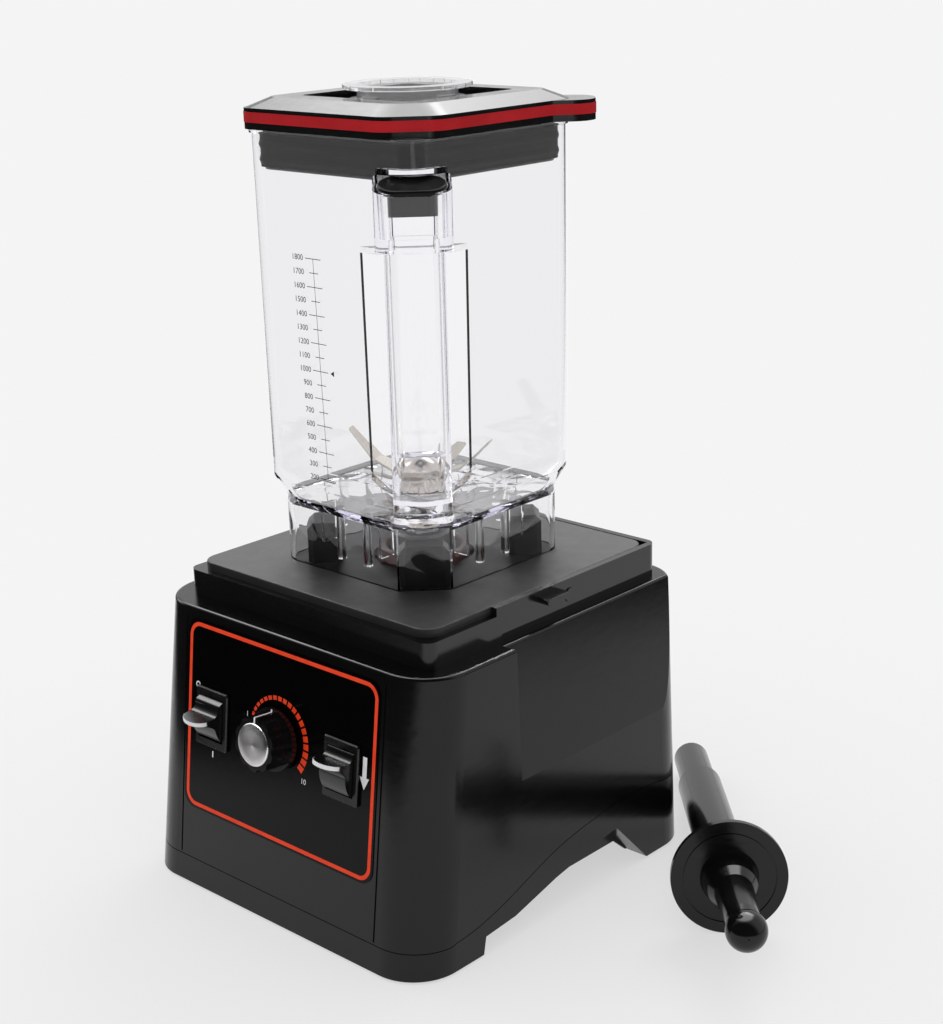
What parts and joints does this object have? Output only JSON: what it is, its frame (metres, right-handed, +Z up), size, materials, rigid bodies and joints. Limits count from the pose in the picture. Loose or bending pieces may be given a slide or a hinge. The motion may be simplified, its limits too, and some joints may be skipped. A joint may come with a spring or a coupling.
{
  "type": "countertop blender",
  "caption": "Countertop blender with a square clear jar, corner handle, lid with filling cap, rocker switches, speed knob, drive motor and a separate tamper.",
  "frame": {"origin": "on the ground under the common axis of the motor and the jar, at the face of the centre pad of the bottom pan, in line with the feet", "axes": "+Z up along the motor axis; -Y to the front, where the switches and the speed knob are; +X to the operator's right when looking at the controls"},
  "size_m": [0.388, 0.3346, 0.4744],
  "materials": {
    "housing_plastic": "high-gloss moulded, light swirl marks",
    "pan_plastic": "gloss moulded",
    "cover_plastic": "satin-gloss moulded",
    "mat_rubber": "satin, fine grain",
    "post_rubber": "satin moulded",
    "foot_rubber": "matt",
    "ring_plastic": "satin",
    "panel_film": "gloss film with printed marks",
    "switch_plastic": "gloss moulded",
    "paddle_plastic": "gloss moulded, painted white ends",
    "knob_plastic": "satin moulded",
    "knob_metal": "radially brushed",
    "jar_clear": "clear moulded copolyester, polished",
    "cap_clear": "clear moulded, polished",
    "plug_rubber": "satin moulded",
    "lid_plastic": "gloss moulded",
    "band_red": "gloss",
    "gasket_rubber": "satin ribbed",
    "tamper_plastic": "gloss moulded",
    "blade_steel": "ground and polished",
    "shaft_steel": "ground",
    "cast_alloy": "as cast, turned faces",
    "socket_metal": "sintered",
    "core_steel": "varnished laminations",
    "copper": "enamelled winding wire",
    "carbon": "pressed carbon",
    "plate_steel": "zinc plated and painted",
    "isolator_rubber": "matt",
    "fan_plastic": "natural nylon",
    "board_laminate": "solder-mask laminate",
    "part_plastic": "satin",
    "button_red": "gloss"
  },
  "bodies": {
    "base": {"housing_shell": "housing_plastic", "bottom_pan": "pan_plastic", "pan_screws": "shaft_steel", "foot_fr": "foot_rubber", "foot_fl": "foot_rubber", "foot_rr": "foot_rubber", "foot_rl": "foot_rubber", "top_cover": "cover_plastic", "top_mat": "mat_rubber", "drip_ring": "ring_plastic", "post_fr": "post_rubber", "post_rr": "post_rubber", "post_rl": "post_rubber", "post_fl": "post_rubber", "control_label": "panel_film", "power_switch": "switch_plastic", "pulse_switch": "switch_plastic", "speed_pot": "part_plastic", "control_board": "board_laminate", "heat_sink": "cast_alloy", "breaker": "part_plastic", "cord_gland": "part_plastic", "mounting_plate": "plate_steel", "isolators": "isolator_rubber", "upper_bracket": "cast_alloy", "lower_bracket": "cast_alloy", "stator_core": "core_steel", "field_coils": "copper", "brushes": "carbon", "upper_bearing": "shaft_steel", "lower_bearing": "shaft_steel"},
    "motor": {"motor_shaft": "shaft_steel", "armature": "core_steel", "commutator": "copper", "cooling_fan": "fan_plastic", "drive_socket": "socket_metal"},
    "power_rocker": {"power_paddle": "paddle_plastic"},
    "pulse_rocker": {"pulse_paddle": "paddle_plastic"},
    "knob": {"knob_body": "knob_plastic", "knob_cap": "knob_metal", "pot_shaft": "shaft_steel"},
    "reset": {"reset_button": "button_red"},
    "jar": {"jar": "jar_clear", "handle_plug": "plug_rubber", "blade_housing": "cast_alloy", "jar_bearing": "shaft_steel", "retaining_nut": "ring_plastic"},
    "blades": {"blade_shaft": "shaft_steel", "drive_hub": "shaft_steel", "blade_cone": "blade_steel", "lower_blade": "blade_steel", "upper_blade": "blade_steel", "cap_nut": "blade_steel"},
    "lid": {"lid": "lid_plastic", "lid_band": "band_red", "lid_gasket": "gasket_rubber"},
    "cap": {"fill_cap": "cap_clear"},
    "tamper": {"tamper_rod": "tamper_plastic", "tamper_disc": "tamper_plastic", "tamper_grip": "tamper_plastic"}
  },
  "joints": [
    {"name": "motor_spin", "type": "hinge", "parent": "base", "child": "motor", "pos_m": [0, 0, 0.1], "axis": [0, 0, 1], "continuous": true},
    {"name": "jar_lift", "type": "slide", "parent": "base", "child": "jar", "axis": [0, 0, 1], "range_m": [0, 0.15]},
    {"name": "blade_spin", "type": "hinge", "parent": "jar", "child": "blades", "pos_m": [0, 0, 0.23], "axis": [0, 0, 1], "continuous": true},
    {"name": "lid_lift", "type": "slide", "parent": "jar", "child": "lid", "axis": [0, 0, 1], "range_m": [0, 0.08]},
    {"name": "cap_lift", "type": "slide", "parent": "lid", "child": "cap", "axis": [0, 0, 1], "range_m": [0, 0.06]},
    {"name": "power_rock", "type": "hinge", "parent": "base", "child": "power_rocker", "pos_m": [-0.057, -0.12132, 0.11113], "axis": [1, 0, 0], "range_deg": [-16, 0]},
    {"name": "pulse_rock", "type": "hinge", "parent": "base", "child": "pulse_rocker", "pos_m": [0.054, -0.12132, 0.11113], "axis": [1, 0, 0], "range_deg": [0, 16], "stiffness_Nm_per_rad": 0.15, "springref_deg": -9.74},
    {"name": "knob_turn", "type": "hinge", "parent": "base", "child": "knob", "pos_m": [0, -0.12385, 0.11517], "axis": [0, -0.9925, 0.1219], "range_deg": [-130, 75]},
    {"name": "reset_press", "type": "slide", "parent": "base", "child": "reset", "axis": [0, -1, 0], "range_m": [0, 0.003], "stiffness_N_per_m": 800, "springref_m": -0.002},
    {"name": "tamper_lift", "type": "slide", "parent": "base", "child": "tamper", "axis": [0, 0, 1], "range_m": [0, 0.1]}
  ],
  "couplings": [
    {"joint": "blade_spin", "follows": "motor_spin", "ratio": 1}
  ]
}
